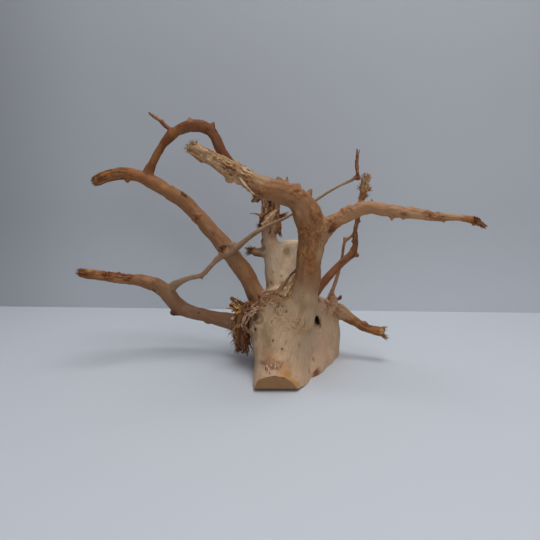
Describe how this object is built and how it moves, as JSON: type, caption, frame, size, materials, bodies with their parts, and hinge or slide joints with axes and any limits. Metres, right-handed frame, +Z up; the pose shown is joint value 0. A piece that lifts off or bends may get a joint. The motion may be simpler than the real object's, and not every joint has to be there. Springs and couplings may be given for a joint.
{
  "type": "spiderwood root",
  "caption": "Branching dry root that stands on its sawn stump, with arching limbs, twigs, broken ends and frayed root fibre, for an aquarium, terrarium or shelf.",
  "frame": {"origin": "on the flat sawn base, under the middle of the stump, where the root stands", "axes": "+Z up out of the base; +X along the limbs' longest reach, to the right as seen from the sawn front face; -Y towards the side with the sawn front face"},
  "size_m": [0.4393, 0.171, 0.305],
  "materials": {
    "bare_wood": "dry, debarked and washed root wood: pale tan on the stump, browner on the limbs, matt"
  },
  "bodies": {
    "root": {"spiderwood_root": "bare_wood"}
  },
  "joints": []
}
